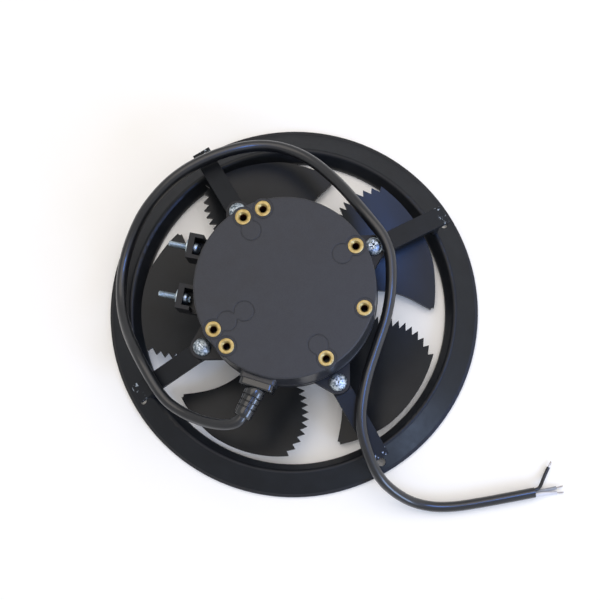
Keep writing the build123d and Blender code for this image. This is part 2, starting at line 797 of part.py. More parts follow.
with BuildPart() as terminal_block:
    with BuildSketch(outward_plane(outlet_angle, terminal_at_r + terminal_depth / 2, board_top + terminal_h / 2)):
        Rectangle(terminal_w, terminal_h)
    extrude(amount=-terminal_depth)
    with BuildSketch(outward_plane(outlet_angle, terminal_at_r + terminal_depth / 2, board_top + terminal_mouth)):
        with GridLocations(terminal_pitch, 0, 3, 1):
            Rectangle(terminal_mouth, terminal_mouth)
    extrude(amount=-terminal_depth / 2, mode=Mode.SUBTRACT)
save(terminal_block, "terminal_block")

# Power cable: out of the strain relief, over the left arms, round the top, over the
# right ear, down along the lower arm and out on the table
cable_points = [
    tuple(relief_root + relief_way * relief_l),
    tuple(relief_root + relief_way * (relief_l + 5.0)),
    (-38.2, -83.6, 46.4),
    (-46.8, -81.8, 43.0),
    (-56.4, -77.8, 39.6),
    (-67.2, -72.3, 37.6),
    (-79.5, -62.7, 39.2),
    (-95.3, -36.1, 39.0),
    (-107.0, -15.6, 24.5),
    (-113.5, 6.0, 15.4),
    (-112.6, 27.6, 14.6),
    (-105.0, 47.6, 19.0),
    (-91.7, 64.2, 28.5),
    (-68.8, 80.8, 38.7),
    (-39.2, 94.4, 38.7),
    (-13.2, 100.7, 33.4),
    (11.0, 93.2, 33.4),
    (31.6, 73.5, 39.5),
    (48.0, 48.7, 52.4),
    (63.8, 27.9, 54.0),
    (65.2, 5.0, 51.0),
    (62.3, -14.1, 46.0),
    (55.2, -34.3, 43.4),
    (48.1, -55.9, 43.6),
    (45.0, -79.8, 43.6),
    (49.3, -98.8, 39.4),
    (56.5, -113.6, 29.8),
    (68.1, -123.8, 16.8),
    (82.7, -130.6, 7.0),
    (102.0, -132.9, 3.7),
    (131.2, -128.7, 3.6),
    (161.3, -123.0, 3.6),
]


def corner_radii(points):
    """Each corner's arc, as large as its two runs allow."""
    vectors = [Vector(*p) for p in points]
    radii = []
    for before, corner, after in zip(vectors, vectors[1:], vectors[2:]):
        turn = radians((corner - before).get_angle(after - corner))
        run = min((corner - before).length, (after - corner).length)
        radii.append(0.45 * run / tan(turn / 2))
    return radii


def make_tube(points, diameter):
    with BuildPart() as tube:
        with BuildLine():
            path = FilletPolyline(*points, radius=corner_radii(points))
        start = Vector(*points[0])
        with BuildSketch(Plane(origin=start, z_dir=Vector(*points[1]) - start)):
            Circle(diameter / 2)
        sweep()
    return tube, path


power_cable, cable_path = make_tube(cable_points, cable_d)
save(power_cable, "power_cable")
print("cable radii", [round(r, 1) for r in corner_radii(cable_points)])
cable_section = pi * cable_d ** 2 / 4
print("cable length", round(cable_path.length, 1), "volume over section times length",
      round(power_cable.part.volume / (cable_section * cable_path.length), 5))

# The three leads leave the jacket's end side by side and lie down on the surface
jacket_end = Vector(*cable_points[-1])
jacket_way = (jacket_end - Vector(*cable_points[-2])).normalized()
jacket_side = Vector(-jacket_way.Y, jacket_way.X, 0)
lead_starts = [jacket_end + jacket_side * (lead_circle_r * sin(radians(a))) + Vector(0, 0, lead_circle_r * cos(radians(a)))
               for a in (60, 180, 300)]
lead_ends = {
    "lead_black": [(165.6, -118.4, 3.4), (168.2, -112.6, 1.3), (171.4, -106.0, 1.3)],
    "lead_grey": [(167.6, -121.6, 1.3), (171.8, -120.8, 1.3), (176.4, -119.8, 1.3)],
    "lead_white": [(167.8, -123.6, 3.2), (172.2, -123.4, 1.3), (176.8, -123.2, 1.3)],
}
for start, (name, points) in zip(lead_starts, lead_ends.items()):
    first = start + jacket_way * 2.6
    lead, lead_path = make_tube([tuple(start), tuple(first)] + points, lead_d)
    save(lead, name)

with BuildPart() as wire_ends:
    for points in lead_ends.values():
        with BuildSketch(Plane(origin=points[-1], z_dir=Vector(*points[-1]) - Vector(*points[-2]))):
            Circle(wire_d / 2)
        extrude(amount=wire_l)
save(wire_ends, "wire_ends")
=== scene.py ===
import math
import random

import bmesh
import bpy
from mathutils import Matrix, Vector


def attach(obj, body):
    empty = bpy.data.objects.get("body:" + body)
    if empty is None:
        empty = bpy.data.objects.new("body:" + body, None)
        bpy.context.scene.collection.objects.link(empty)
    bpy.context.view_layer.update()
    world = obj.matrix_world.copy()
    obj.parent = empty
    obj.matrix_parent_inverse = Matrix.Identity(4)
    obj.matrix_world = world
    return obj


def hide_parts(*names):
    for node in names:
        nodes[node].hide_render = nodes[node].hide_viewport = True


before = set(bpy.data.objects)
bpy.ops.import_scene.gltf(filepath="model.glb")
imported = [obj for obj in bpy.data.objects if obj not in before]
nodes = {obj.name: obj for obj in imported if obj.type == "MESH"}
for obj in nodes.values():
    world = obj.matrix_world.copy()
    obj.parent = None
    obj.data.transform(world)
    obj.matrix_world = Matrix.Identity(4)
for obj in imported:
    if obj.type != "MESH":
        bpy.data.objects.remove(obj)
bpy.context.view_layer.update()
scene = bpy.context.scene

MM = 0.001

# Places on the object that the looks depend on, in millimetres and degrees
COVER_TOP = 59.3
EAR_TOP = 39.6
ARM_SCREW_R = 62.6
ARM_SCREW_ANGLES = (30, 120, 210, 300)
INSERT_R = 50
INSERT_ANGLES = {
    "threaded_inserts_square": (30, 120, 210, 300),
    "threaded_inserts_triangle": (105, 225, 345),
}
POCKET_ANGLE = 168.3
POCKET_SEAT_R = 63.0
POCKET_SEAT_Z = 41.8
POCKET_SIDES = (14.0, -18.2)
POCKET_WALL = 3.8
GLAND_ANGLE = 252.4
GLAND_R = 62.6
GLAND_Z = 48
RELIEF_ANGLE = 242.3

# Screw threads: outer radius, pitch and depth
M5_R, M5_PITCH, M5_DEPTH = 2.5, 0.8, 0.35
M4_R, M4_PITCH, M4_DEPTH = 1.95, 0.7, 0.3


def polar(radius, angle, z=0.0):
    """A point in metres, from millimetres and degrees."""
    turn = math.radians(angle)
    return Vector((radius * math.cos(turn), radius * math.sin(turn), z)) * MM


# Camera: looks down on the motor side from beyond the lower right, as the photograph does
CAMERA_PLACE = (0.04968, -0.14283, 0.52)
CAMERA_TILT_X = -0.02362
CAMERA_TILT_Y = -0.01082
CAMERA_ROLL = math.radians(0.39)
SENSOR_WIDTH = 36
FOCAL_PIXELS = 768.343
IMAGE_PIXELS = 600

tilt = (Matrix.Rotation(CAMERA_TILT_X, 3, "X") @ Matrix.Rotation(CAMERA_TILT_Y, 3, "Y")
        @ Matrix.Rotation(CAMERA_ROLL, 3, "Z"))
camera_data = bpy.data.cameras.new("camera")
camera = bpy.data.objects.new("camera", camera_data)
scene.collection.objects.link(camera)
camera.matrix_world = Matrix.Translation(CAMERA_PLACE) @ tilt.transposed().to_4x4()
camera_data.sensor_width = SENSOR_WIDTH
camera_data.lens = SENSOR_WIDTH * FOCAL_PIXELS / IMAGE_PIXELS
camera_data.shift_x = -0.1
camera_data.shift_y = 0.34167
camera_data.clip_start = 0.01
scene.camera = camera

# The cable, first of all the looks: the control points of its route, in metres
CABLE_D = 7.0 * MM
cable_route = [
    (-0.0280, -0.0769, 0.0480),
    (-0.0295, -0.0798, 0.0480),
    (-0.0372, -0.0816, 0.0462),
    (-0.0468, -0.0802, 0.0424),
    (-0.0565, -0.0771, 0.0384),
    (-0.0680, -0.0719, 0.0344),
    (-0.0816, -0.0621, 0.0332),
    (-0.0972, -0.0346, 0.0324),
    (-0.1084, -0.0146, 0.0205),
    (-0.1144, 0.0068, 0.0128),
    (-0.1134, 0.0284, 0.0122),
    (-0.1060, 0.0488, 0.0160),
    (-0.0930, 0.0660, 0.0246),
    (-0.0706, 0.0842, 0.0314),
    (-0.0404, 0.0975, 0.0326),
    (-0.0140, 0.1040, 0.0270),
    (0.0106, 0.0961, 0.0276),
    (0.0315, 0.0756, 0.0350),
    (0.0480, 0.0520, 0.0444),
    (0.0643, 0.0313, 0.0450),
    (0.0656, 0.0075, 0.0432),
    (0.0625, -0.0128, 0.0410),
    (0.0552, -0.0332, 0.0386),
    (0.0480, -0.0547, 0.0372),
    (0.0446, -0.0787, 0.0348),
    (0.0493, -0.0981, 0.0312),
    (0.0564, -0.1134, 0.0250),
    (0.0681, -0.1238, 0.0145),
    (0.0827, -0.1307, 0.0058),
    (0.1020, -0.1331, 0.0036),
    (0.1312, -0.1287, 0.0036),
    (0.1613, -0.1230, 0.0036),
]


# Materials; sizes and heights are in millimetres
STEEL_EDGE_R = 0.5
COVER_EDGE_R = 1.1
COVER_GRAINED_Z = COVER_TOP - 0.15
COVER_SMOOTH_Z = COVER_GRAINED_Z - 0.5
COVER_SIDE_ROUGHNESS = 0.3
# Heights in the insert bores over which the painted shade fades: full at the lower one, gone at the
# upper one
BORE_PAINTED_SHADE_FULL_Z = COVER_TOP - 2.6
BORE_PAINTED_SHADE_END_Z = COVER_TOP - 0.7
CHIP_START_R = 111.0
CHIP_FULL_R = 112.0

# A mix node's sockets for colours, which share their names with those for numbers
MIX_A, MIX_B, MIX_RESULT = 6, 7, 2


def linear(colour):
    """An sRGB hex colour as linear RGBA."""
    channels = [int(colour[i:i + 2], 16) / 255 for i in (1, 3, 5)]
    return [c / 12.92 if c <= 0.04045 else ((c + 0.055) / 1.055) ** 2.4 for c in channels] + [1.0]


class Shader:
    """A material's node tree with short calls to add to it.

    Noise is called with its size, detail and roughness, relief with its height and strength.
    """

    def __init__(self, name):
        self.material = bpy.data.materials.new(name)
        self.material.use_nodes = True
        self.tree = self.material.node_tree
        self.tree.nodes.clear()
        self.surface = self.node("ShaderNodeBsdfPrincipled")
        output = self.node("ShaderNodeOutputMaterial")
        self.link(self.surface, "BSDF", output, "Surface")
        self.coords = self.node("ShaderNodeTexCoord")

    def node(self, kind, **settings):
        made = self.tree.nodes.new(kind)
        for key, value in settings.items():
            if key in made.inputs:
                made.inputs[key].default_value = value
            else:
                setattr(made, key, value)
        return made

    def link(self, a, out, b, into):
        self.tree.links.new(a.outputs[out], b.inputs[into])

    def set(self, **values):
        """Sets values of the surface; an underscore stands for a space in a socket's name."""
        for key, value in values.items():
            self.surface.inputs[key.replace("_", " ")].default_value = value

    def noise(self, size_mm, detail, roughness, stretch=(1, 1, 1)):
        """Noise with features of about size_mm."""
        mapping = self.node("ShaderNodeMapping")
        mapping.inputs["Scale"].default_value = stretch
        self.link(self.coords, "Object", mapping, "Vector")
        noise = self.node("ShaderNodeTexNoise",
                          Scale=1.0 / MM / size_mm, Detail=detail, Roughness=roughness)
        self.link(mapping, "Vector", noise, "Vector")
        return noise

    def on_object(self, kind, **settings):
        """A node that reads the place on the object."""
        made = self.node(kind, **settings)
        self.link(self.coords, "Object", made, "Vector")
        return made

    def spread(self, source, out, low, high, start=0.3, end=0.7):
        """A value between low and high while a source goes from start to end."""
        ramp = self.node("ShaderNodeMapRange")
        for key, value in (("From Min", start), ("From Max", end),
                           ("To Min", low), ("To Max", high)):
            ramp.inputs[key].default_value = value
        self.link(source, out, ramp, "Value")
        return ramp

    def tint(self, source, out, dark, light, start=0.3, end=0.7):
        """The base colour, between two colours while a source goes from start to end."""
        ramp = self.node("ShaderNodeValToRGB")
        for element, place, colour in zip(ramp.color_ramp.elements, (start, end), (dark, light)):
            element.position = place
            element.color = linear(colour)
        self.link(source, out, ramp, "Fac")
        self.link(ramp, "Color", self.surface, "Base Color")
        return ramp

    def mixed_tint(self, share, out):
        """A mix of two colours as the base colour; its A and B are for the caller to fill."""
        mix = self.node("ShaderNodeMix", data_type="RGBA")
        self.link(share, out, mix, "Factor")
        self.link(mix, MIX_RESULT, self.surface, "Base Color")
        return mix

    def roughen(self, source, low, high):
        """A roughness from low to high that follows noise."""
        self.link(self.spread(source, "Fac", low, high), "Result", self.surface, "Roughness")

    def bevel(self, radius_mm, samples):
        """Normals that round the edges in shading only."""
        return self.node("ShaderNodeBevel", Radius=radius_mm * MM, samples=samples)

    def bump(self, source, out, height_mm, strength, below=None):
        """Relief on the surface, over the normals of another node where one is given."""
        bump = self.node("ShaderNodeBump", Strength=strength, Distance=height_mm * MM)
        self.link(source, out, bump, "Height")
        if below is not None:
            self.link(below, "Normal", bump, "Normal")
        self.link(bump, "Normal", self.surface, "Normal")
        return bump


def coated_steel(name, chipped=False):
    """Satin black powder coat: a fine orange peel over edges that are broken, not sharp."""
    s = Shader(name)
    film = s.tint(s.noise(26, 5, 0.6), "Fac", "#131519", "#1a1d22")
    s.roughen(s.noise(9, 6, 0.7), 0.32, 0.46)
    edge = s.bevel(STEEL_EDGE_R, samples=4)
    peel = s.bump(s.noise(0.9, 2, 0.45), "Fac", 0.05, 0.55, below=edge)
    s.bump(s.noise(0.18, 1, 0.5), "Fac", 0.012, 0.5, below=peel)
    s.set(Metallic=0.0, IOR=1.5, Specular_IOR_Level=0.25)
    if chipped:
        chip_ends(s, film)
    return s.material


def chip_ends(s, film):
    """Chips a film to bare steel in spots, far out, where the arms are welded to the ring."""
    flat = s.on_object("ShaderNodeVectorMath", operation="MULTIPLY")
    flat.inputs[1].default_value = (1, 1, 0)
    reach = s.node("ShaderNodeVectorMath", operation="LENGTH")
    s.link(flat, "Vector", reach, "Vector")
    zone = s.spread(reach, "Value", 0.0, 1.0, CHIP_START_R * MM, CHIP_FULL_R * MM)
    spots = s.spread(s.noise(2.6, 3, 0.65), "Fac", 0.0, 1.0, 0.57, 0.61)
    chips = s.node("ShaderNodeMath", operation="MULTIPLY")
    s.link(zone, "Result", chips, 0)
    s.link(spots, "Result", chips, 1)
    mix = s.mixed_tint(chips, "Value")
    s.link(film, "Color", mix, MIX_A)
    mix.inputs[MIX_B].default_value = linear("#a9b4c0")
    s.link(chips, "Value", s.surface, "Metallic")


def moulded(name, dark, light, rough, grain_mm, grain_height, patch_mm, shine=0.5):
    """Moulded plastic or sintered material with an eroded grain."""
    s = Shader(name)
    s.tint(s.noise(patch_mm, 4, 0.55), "Fac", dark, light)
    grain = s.noise(grain_mm, 3, 0.6)
    s.roughen(grain, rough[1], rough[0])
    s.bump(grain, "Fac", grain_height, 0.6)
    s.set(IOR=1.48, Specular_IOR_Level=shine)
    return s.material


def cover_plastic():
    """Charcoal plastic: spark-eroded grain and paler rubbed spots on top, a smoother side."""
    s = Shader("cover_eroded_plastic")
    patches = s.noise(11, 6, 0.62)
    speckle = s.noise(0.5, 2, 0.7)
    rubbed = s.node("ShaderNodeMix", data_type="FLOAT", Factor=0.45)
    s.link(patches, "Fac", rubbed, "A")
    s.link(speckle, "Fac", rubbed, "B")
    s.tint(rubbed, "Result", "#222327", "#323337", 0.36, 0.64)
    height = s.on_object("ShaderNodeSeparateXYZ")
    top = s.spread(height, "Z", 0.0, 1.0, COVER_SMOOTH_Z * MM, COVER_GRAINED_Z * MM)
    roughness = s.node("ShaderNodeMix", data_type="FLOAT")
    roughness.inputs["A"].default_value = COVER_SIDE_ROUGHNESS
    s.link(top, "Result", roughness, "Factor")
    s.link(s.spread(patches, "Fac", 0.52, 0.64), "Result", roughness, "B")
    s.link(roughness, "Result", s.surface, "Roughness")
    s.bump(s.noise(0.42, 4, 0.65), "Fac", 0.045, 0.75, below=s.bevel(COVER_EDGE_R, samples=6))
    s.set(IOR=1.47)
    return s.material


def metal(name, dark, light, rough, patch_mm, grain, stretch=(1, 1, 1), edge=0.2):
    """Bare or plated metal in patches of two tones; a smaller edge sets them off more sharply."""
    s = Shader(name)
    s.tint(s.noise(patch_mm, 4, 0.6), "Fac", dark, light, 0.5 - edge, 0.5 + edge)
    s.roughen(s.noise(patch_mm * 0.5, 4, 0.7), *rough)
    grain_mm, grain_height = grain
    s.bump(s.noise(grain_mm, 3, 0.6, stretch), "Fac", grain_height, 0.6)
    s.set(Metallic=1.0)
    return s.material


def insert_brass():
    """Turned brass with fine rings, and painted shade down in the thread: dark brown towards the
    bottom of the bore.
    """
    s = Shader("turned_brass_painted_bore_shade")
    bright = s.tint(s.noise(2.4, 4, 0.6), "Fac", "#8f7a48", "#b9a673")
    s.roughen(s.noise(0.8, 3, 0.6), 0.34, 0.5)
    s.bump(s.noise(0.9, 2, 0.5, (1, 1, 9)), "Fac", 0.01, 0.5)
    s.set(Metallic=1.0)
    # Painted shade: down the bore the brass is mixed into a dark brown, fully so near its bottom
    height = s.on_object("ShaderNodeSeparateXYZ")
    depth = s.spread(height, "Z", 0.0, 1.0, BORE_PAINTED_SHADE_FULL_Z * MM, BORE_PAINTED_SHADE_END_Z * MM)
    mix = s.mixed_tint(depth, "Result")
    mix.inputs[MIX_A].default_value = linear("#55281f")
    s.link(bright, "Color", mix, MIX_B)
    return s.material


def soft(name, dark, light, rough, grain=(0.6, 0.02), patch_mm=8, skin=0.0):
    """Rubber or cable insulation: a faint flow texture, under a glossy skin where it has one."""
    s = Shader(name)
    s.tint(s.noise(patch_mm, 4, 0.55), "Fac", dark, light)
    s.roughen(s.noise(2.2, 4, 0.6), *rough)
    grain_mm, grain_height = grain
    s.bump(s.noise(grain_mm, 2, 0.5), "Fac", grain_height, 0.45)
    s.set(IOR=1.5, Coat_Weight=skin, Coat_Roughness=0.1)
    return s.material


def laminations():
    """Stacked stampings: fine dark lines up the stack."""
    s = Shader("stamped_laminations")
    wave = s.on_object("ShaderNodeTexWave", Scale=318.0, Distortion=0.4, bands_direction="Z")
    s.tint(wave, "Fac", "#3d4046", "#868b92", 0.1, 0.5)
    s.bump(wave, "Fac", 0.03, 0.7)
    s.set(Metallic=1.0, Roughness=0.42)
    return s.material


def windings():
    """Enamelled wire: fine turns side by side, with painted shade, a darker brown, in the valleys
    between them.
    """
    s = Shader("enamelled_wire")
    wave = s.on_object("ShaderNodeTexWave", Scale=310.0, Distortion=1.2, Detail=1.0,
                       bands_direction="DIAGONAL")
    # Painted shade: the low parts of the wave, the valleys between the turns, take the darker brown
    s.tint(wave, "Fac", "#5a2a10", "#b8682c", 0.1, 0.7)
    s.bump(wave, "Fac", 0.12, 0.8)
    s.set(Metallic=0.85, Roughness=0.3, Coat_Weight=0.6)
    return s.material


def circuit_laminate():
    """Green solder mask with paler tracks below it."""
    s = Shader("solder_mask")
    cells = s.on_object("ShaderNodeTexVoronoi", Scale=260.0, feature="DISTANCE_TO_EDGE",
                        distance="CHEBYCHEV")
    s.tint(cells, "Distance", "#2d7a4c", "#14492c", 0.04, 0.09)
    s.bump(cells, "Distance", 0.03, 0.4)
    s.set(Roughness=0.3)
    return s.material


coat = coated_steel("black_powder_coat")
arm_coat = coated_steel("black_powder_coat_chipped", chipped=True)
cover_material = cover_plastic()
housing_material = moulded("housing_filled_plastic", "#131417", "#1b1c20", rough=(0.42, 0.56),
                           grain_mm=0.5, grain_height=0.04, patch_mm=14, shine=0.36)
blade_material = moulded("blade_filled_plastic", "#0e1013", "#15181c", rough=(0.28, 0.38),
                         grain_mm=0.7, grain_height=0.022, patch_mm=20, shine=0.27)
ferrite = moulded("sintered_ferrite", "#2b2b2e", "#3b3b3f", rough=(0.5, 0.66),
                  grain_mm=0.25, grain_height=0.02, patch_mm=5)
can_sleeve = moulded("capacitor_sleeve", "#171b26", "#22283a", rough=(0.3, 0.42),
                     grain_mm=0.8, grain_height=0.01, patch_mm=6)
terminal_plastic = moulded("terminal_plastic", "#245c3c", "#30734d", rough=(0.42, 0.55),
                           grain_mm=0.4, grain_height=0.02, patch_mm=6)

brass = insert_brass()
zinc = metal("bright_zinc", "#95a2aa", "#bcc8ce", rough=(0.3, 0.46),
             patch_mm=1.6, grain=(0.3, 0.02))
worn_zinc = metal("worn_zinc", "#5f6c75", "#ced7dc", rough=(0.36, 0.56),
                  patch_mm=1.3, grain=(0.4, 0.02), edge=0.09)
tinned = metal("tinned_strands", "#a89c8c", "#d8cfc2", rough=(0.24, 0.4),
               patch_mm=0.6, grain=(0.12, 0.01))
steel = metal("ground_steel", "#8f959c", "#c4c9ce", rough=(0.14, 0.26),
              patch_mm=4.0, grain=(0.2, 0.004))
aluminium = metal("turned_aluminium", "#9aa0a6", "#c2c6ca", rough=(0.28, 0.4),
                  patch_mm=3.0, grain=(0.3, 0.008), stretch=(1, 1, 6))
rotor_steel = metal("drawn_steel", "#666b72", "#8d9299", rough=(0.28, 0.42),
                    patch_mm=6.0, grain=(0.4, 0.008))
spring_steel = metal("phosphated_steel", "#3b3d40", "#5a5c60", rough=(0.4, 0.55),
                     patch_mm=1.0, grain=(0.2, 0.01))

rubber = soft("gland_rubber", "#0d0f12", "#14171b", rough=(0.2, 0.3), skin=0.5)
seal_rubber = soft("seal_rubber", "#0c0c0e", "#131315", rough=(0.6, 0.75))
jacket = soft("cable_jacket", "#0e0f12", "#15171b", rough=(0.3, 0.4),
              grain=(1.4, 0.008), patch_mm=12, skin=0.4)
insulation = {
    "black": soft("black_insulation", "#0d0e10", "#16171a", rough=(0.3, 0.4)),
    "grey": soft("grey_insulation", "#8a8e96", "#a2a6ae", rough=(0.34, 0.46)),
    "white": soft("white_insulation", "#c4c4cc", "#d2d2d9", rough=(0.34, 0.46)),
}

node_materials = {
    "wall_ring": coat,
    "support_arm_1": arm_coat, "support_arm_2": arm_coat,
    "support_arm_3": arm_coat, "support_arm_4": arm_coat,
    "motor_housing": housing_material, "rear_cover": cover_material, "cover_seal": seal_rubber,
    "threaded_inserts_square": brass, "threaded_inserts_triangle": brass,
    "arm_screws": worn_zinc, "arm_nuts": worn_zinc, "pocket_screws": zinc, "pocket_washers": zinc,
    "cable_gland": rubber, "strain_relief": rubber, "power_cable": jacket,
    "lead_black": insulation["black"], "lead_grey": insulation["grey"],
    "lead_white": insulation["white"], "wire_ends": tinned,
    "bearing_tube": aluminium, "bearing_front": steel, "bearing_rear": steel,
    "stator_core": laminations(), "stator_windings": windings(),
    "circuit_board": circuit_laminate(), "board_posts": aluminium, "capacitors": can_sleeve,
    "line_choke": ferrite, "terminal_block": terminal_plastic,
    "rotor_shaft": steel, "rotor_cup": rotor_steel, "magnet_ring": ferrite,
    "impeller": blade_material, "impeller_screws": zinc, "shaft_clip": spring_steel,
}
for name, node in nodes.items():
    node.data.materials.clear()
    node.data.materials.append(node_materials[name])


# Mesh helpers; every turned body and thread stands on the z axis
SHARP_ANGLE = 30
THREAD_STEPS = 40
ROWS_PER_PITCH = 6

# A cross recess, as shares of its size and depth
CROSS_MOUTH_WIDTH = 0.24
CROSS_FLOOR_WIDTH = 0.17
CROSS_FLOOR_LENGTH = 0.42
CROSS_ABOVE_MOUTH = 0.6
MINOR_CROSS_SIZE = 0.62
MINOR_CROSS_DEPTH = 0.5


def piece(name, mesh, material):
    made = bpy.data.objects.new(name, mesh)
    scene.collection.objects.link(made)
    mesh.materials.clear()
    mesh.materials.append(material)
    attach(made, "stator")
    return made


def finish_mesh(name, bm, sharp_angle):
    """A mesh that is smooth but for its edges over the sharp angle."""
    bmesh.ops.remove_doubles(bm, verts=bm.verts, dist=1e-7)
    bmesh.ops.recalc_face_normals(bm, faces=bm.faces)
    mesh = bpy.data.meshes.new(name)
    for face in bm.faces:
        face.smooth = True
    for edge in bm.edges:
        sharp = len(edge.link_faces) == 2 and edge.calc_face_angle() > math.radians(sharp_angle)
        edge.smooth = not sharp
    bm.to_mesh(mesh)
    bm.free()
    return mesh


def merged(name, parts):
    """One mesh from several (bmesh, matrix) pairs."""
    whole = bmesh.new()
    for bm, matrix in parts:
        bmesh.ops.transform(bm, matrix=matrix, verts=bm.verts)
        part = bpy.data.meshes.new("part")
        bm.to_mesh(part)
        bm.free()
        whole.from_mesh(part)
        bpy.data.meshes.remove(part)
    return finish_mesh(name, whole, SHARP_ANGLE)


def placed(axis, origin):
    """Matrix whose z runs along axis, from origin."""
    return Matrix.Translation(origin) @ Vector(axis).to_track_quat("Z", "Y").to_matrix().to_4x4()


def step_angle(i, steps):
    return 2 * math.pi * i / steps


def turned_point(radius, height, i, steps):
    """One of the points in which a circle round z is divided, in metres."""
    a = step_angle(i, steps)
    return Vector((radius * math.cos(a), radius * math.sin(a), height)) * MM


def join_rings(bm, low, high):
    """Faces between two rings of as many points each."""
    for i in range(len(low)):
        j = (i + 1) % len(low)
        bm.faces.new((low[i], low[j], high[j], high[i]))


def lathe(bm, profile, steps):
    """Adds a body turned round z from (radius, height) points; a radius of 0 closes it."""
    rings = []
    for radius, height in profile:
        points = steps if radius else 1
        rings.append([bm.verts.new(turned_point(radius, height, i, steps)) for i in range(points)])
    for low, high in zip(rings, rings[1:]):
        if len(low) == len(high):
            join_rings(bm, low, high)
            continue
        for i in range(steps):
            j = (i + 1) % steps
            if len(low) == 1:
                bm.faces.new((low[0], high[i], high[j]))
            else:
                bm.faces.new((low[i], low[j], high[0]))


def thread(bm, radius, pitch, start, end, depth, inside=False):
    """Adds a helical thread between two heights; its depth is cut from the given radius."""
    rows = int((end - start) / pitch * ROWS_PER_PITCH)
    rings = []
    for row in range(rows + 1):
        height = start + (end - start) * row / rows
        ring = []
        for i in range(THREAD_STEPS):
            phase = (height / pitch - i / THREAD_STEPS) % 1.0
            cut = abs(phase * 2 - 1) * depth
            r = radius + cut if inside else radius - cut
            ring.append(bm.verts.new(turned_point(r, height, i, THREAD_STEPS)))
        rings.append(ring)
    for low, high in zip(rings, rings[1:]):
        join_rings(bm, low, high)


def cross_cutter(size, depth, turn):
    """A tapered cross for a screw's recess, its mouth at z = 0."""
    bm = bmesh.new()
    for side in (0, 90):
        arm = bmesh.ops.create_cube(bm, size=1.0)["verts"]
        for v in arm:
            lower = v.co.z < 0
            v.co.x *= size * (CROSS_FLOOR_LENGTH if lower else 1.0)
            v.co.y *= size * (CROSS_FLOOR_WIDTH if lower else CROSS_MOUTH_WIDTH)
            v.co.z = -depth if lower else depth * CROSS_ABOVE_MOUTH
        bmesh.ops.rotate(bm, verts=arm, matrix=Matrix.Rotation(math.radians(side + turn), 3, "Z"))
    bmesh.ops.scale(bm, vec=(MM, MM, MM), verts=bm.verts)
    mesh = bpy.data.meshes.new("cutter")
    bm.to_mesh(mesh)
    bm.free()
    return bpy.data.objects.new("cutter", mesh)


def screw_head(profile, recess, recess_depth, turn):
    """A turned head with a cross recess, and a smaller and shallower one between its arms."""
    bm = bmesh.new()
    lathe(bm, profile, steps=72)
    body = bpy.data.objects.new("screw_head", finish_mesh("screw_head", bm, SHARP_ANGLE))
    scene.collection.objects.link(body)
    top = max(height for _, height in profile)
    crosses = ((recess, recess_depth, turn),
               (recess * MINOR_CROSS_SIZE, recess_depth * MINOR_CROSS_DEPTH, turn + 45))
    for size, depth, angle in crosses:
        cutter = cross_cutter(size, depth, angle)
        cutter.location.z = top * MM
        scene.collection.objects.link(cutter)
        cut = body.modifiers.new("recess", "BOOLEAN")
        cut.operation = "DIFFERENCE"
        cut.solver = "EXACT"
        cut.object = cutter
        bpy.context.view_layer.update()
        graph = bpy.context.evaluated_depsgraph_get()
        made = bpy.data.meshes.new_from_object(body.evaluated_get(graph))
        body.modifiers.clear()
        body.data = made
        bpy.data.objects.remove(cutter)
    bm = bmesh.new()
    bm.from_mesh(body.data)
    bpy.data.objects.remove(body)
    return bm


# Screws, washers and inserts; profiles are (radius, height) points in millimetres
PAN_HEAD = [(0, 3.4), (1.4, 3.4), (2.9, 3.22), (4.2, 2.75), (5.1, 1.9), (5.6, 0.9), (5.7, 0.25),
            (5.5, 0.0), (2.5, 0.0)]
ARM_SCREW_LENGTH = 11.7
parts = []
for angle, turn in zip(ARM_SCREW_ANGLES, (12, 64, 38, 81)):
    bm = screw_head(PAN_HEAD, recess=5.8, recess_depth=1.9, turn=turn)
    thread(bm, M5_R, M5_PITCH, -ARM_SCREW_LENGTH, 0.0, M5_DEPTH)
    parts.append((bm, Matrix.Translation(polar(ARM_SCREW_R, angle, EAR_TOP))))
screws = piece("arm_screws_detailed", merged("arm_screws_detailed", parts), worn_zinc)
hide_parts("arm_screws")

FILLISTER_HEAD = [(0, 2.6), (1.2, 2.6), (2.6, 2.35), (3.2, 1.9), (3.5, 1.2), (3.5, 0.0), (2.0, 0.0)]
STUD_SHANK = [(2.0, 0.0), (2.0, 4.9), (1.9, 5.0)]
STUD_TIP = [(1.65, 16.2), (1.5, 16.6), (0, 16.6)]
WASHER = [(2.05, 0), (4.85, 0), (5.0, 0.15), (5.0, 0.75), (4.85, 0.9), (2.05, 0.9), (2.05, 0)]
pocket_turn = math.radians(POCKET_ANGLE)
pocket_axis = Vector((math.cos(pocket_turn), math.sin(pocket_turn), 0))
pocket_side = Vector((-math.sin(pocket_turn), math.cos(pocket_turn), 0))
parts = []
washers = []
for side, turn in zip(POCKET_SIDES, (20, 57)):
    seat = (pocket_axis * POCKET_SEAT_R + pocket_side * side + Vector((0, 0, POCKET_SEAT_Z))) * MM
    head = screw_head(FILLISTER_HEAD, recess=3.6, recess_depth=1.5, turn=turn)
    parts.append((head, placed(-pocket_axis, seat)))
    stud = bmesh.new()
    lathe(stud, STUD_SHANK, steps=40)
    thread(stud, M4_R, M4_PITCH, STUD_SHANK[-1][1], STUD_TIP[0][1], M4_DEPTH)
    lathe(stud, STUD_TIP, steps=40)
    parts.append((stud, placed(pocket_axis, seat)))
    disc = bmesh.new()
    lathe(disc, WASHER, steps=64)
    washers.append((disc, placed(pocket_axis, seat + pocket_axis * POCKET_WALL * MM)))
studs = piece("pocket_screws_detailed", merged("pocket_screws_detailed", parts), zinc)
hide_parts("pocket_screws")
discs = piece("pocket_washers_detailed", merged("pocket_washers_detailed", washers), zinc)
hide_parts("pocket_washers")

